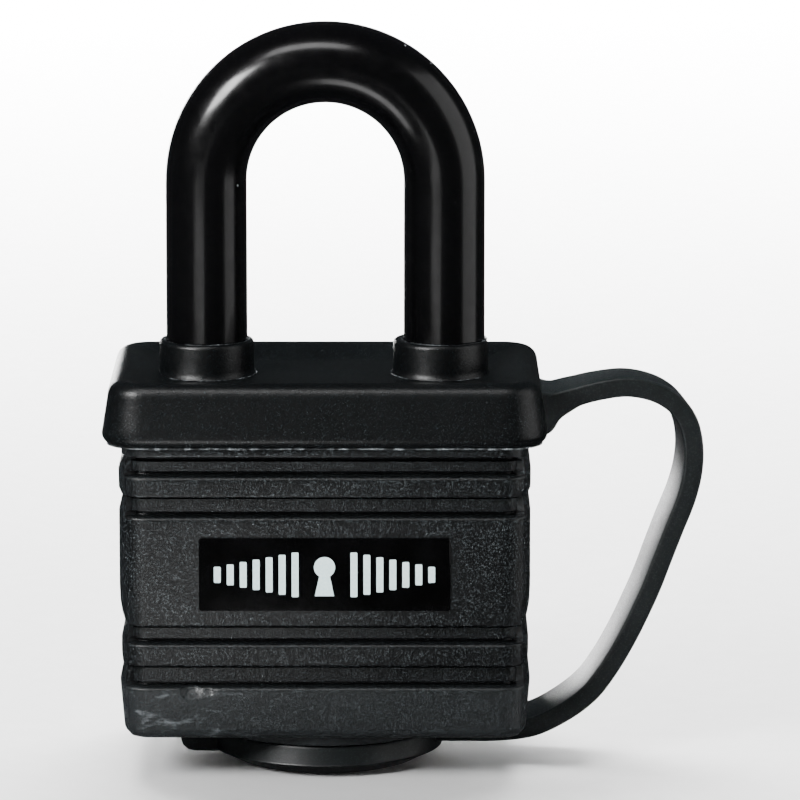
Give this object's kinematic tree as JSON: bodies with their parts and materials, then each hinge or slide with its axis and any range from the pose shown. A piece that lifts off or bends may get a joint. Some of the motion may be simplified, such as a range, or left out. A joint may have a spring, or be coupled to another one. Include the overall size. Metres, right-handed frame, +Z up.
{
  "type": "padlock",
  "caption": "Laminated steel padlock in a grooved black jacket, with a coated shackle, a soft top cap and a keyway cover on a strap.",
  "frame": {"origin": "centre of the keyway cover's flat bottom face, under the lock cylinder's axis", "axes": "+Z up through the shackle's arch, +X towards the strap's loop, -Y out of the front panel"},
  "size_m": [0.0599, 0.0278, 0.0745],
  "materials": {
    "jacket_plastic": "hard black moulded plastic with a fine grain and faint scuffs",
    "cap_plastic": "soft black moulded plastic with a satin grain",
    "label_film": "glossy black film",
    "shackle_coating": "smooth glossy black coating",
    "hardened_steel": "hardened steel, lightly polished",
    "plate_steel": "stamped and plated steel",
    "lock_brass": "turned brass",
    "spring_wire": "drawn spring wire"
  },
  "bodies": {
    "body": {"body_jacket": "jacket_plastic", "body_rivets": "plate_steel", "chamber_cover": "lock_brass", "cylinder_housing": "lock_brass", "driver_pin_1": "lock_brass", "driver_pin_2": "lock_brass", "driver_pin_3": "lock_brass", "driver_pin_4": "lock_brass", "front_label": "label_film", "heel_lever_spring": "spring_wire", "lamination_01": "plate_steel", "lamination_02": "plate_steel", "lamination_03": "plate_steel", "lamination_04": "plate_steel", "lamination_05": "plate_steel", "lamination_06": "plate_steel", "lamination_07": "plate_steel", "lamination_08": "plate_steel", "lamination_09": "plate_steel", "lamination_10": "plate_steel", "lamination_11": "plate_steel", "lamination_12": "plate_steel", "lamination_13": "plate_steel", "lamination_14": "plate_steel", "lamination_15": "plate_steel", "lamination_16": "plate_steel", "pin_spring_1": "spring_wire", "pin_spring_2": "spring_wire", "pin_spring_3": "spring_wire", "pin_spring_4": "spring_wire", "retaining_strap": "cap_plastic", "shackle_spring": "spring_wire", "toe_lever_spring": "spring_wire", "top_cap": "cap_plastic"},
    "shackle": {"shackle": "hardened_steel", "shackle_sleeve": "shackle_coating"},
    "plug": {"key_plug": "lock_brass", "cam": "lock_brass", "plug_clip": "hardened_steel", "key_pin_1": "lock_brass", "key_pin_2": "lock_brass", "key_pin_3": "lock_brass", "key_pin_4": "lock_brass"},
    "toe_lever": {"toe_lever": "hardened_steel"},
    "heel_lever": {"heel_lever": "hardened_steel"},
    "cover": {"keyway_cover": "cap_plastic"}
  },
  "joints": [
    {"name": "shackle_lift", "type": "slide", "parent": "body", "child": "shackle", "axis": [0, 0, 1], "range_m": [0, 0.014], "deforming": ["shackle_spring"]},
    {"name": "plug_turn", "type": "hinge", "parent": "body", "child": "plug", "pos_m": [0, 0, 0.0057], "axis": [0, 0, 1], "range_deg": [-90, 0]},
    {"name": "toe_lever_slide", "type": "slide", "parent": "body", "child": "toe_lever", "axis": [-1, 0, 0], "range_m": [0, 0.0015], "deforming": ["toe_lever_spring"]},
    {"name": "heel_lever_slide", "type": "slide", "parent": "body", "child": "heel_lever", "axis": [1, 0, 0], "range_m": [0, 0.0015], "deforming": ["heel_lever_spring"]},
    {"name": "keyway_cover_swing", "type": "hinge", "parent": "body", "child": "cover", "pos_m": [0.015, 0, 0.0029], "axis": [0, -1, 0], "range_deg": [0, 105]}
  ],
  "couplings": [
    {"joint": "toe_lever_slide", "follows": "plug_turn", "m_per_rad": -0.00095492},
    {"joint": "heel_lever_slide", "follows": "plug_turn", "m_per_rad": -0.00095492}
  ]
}
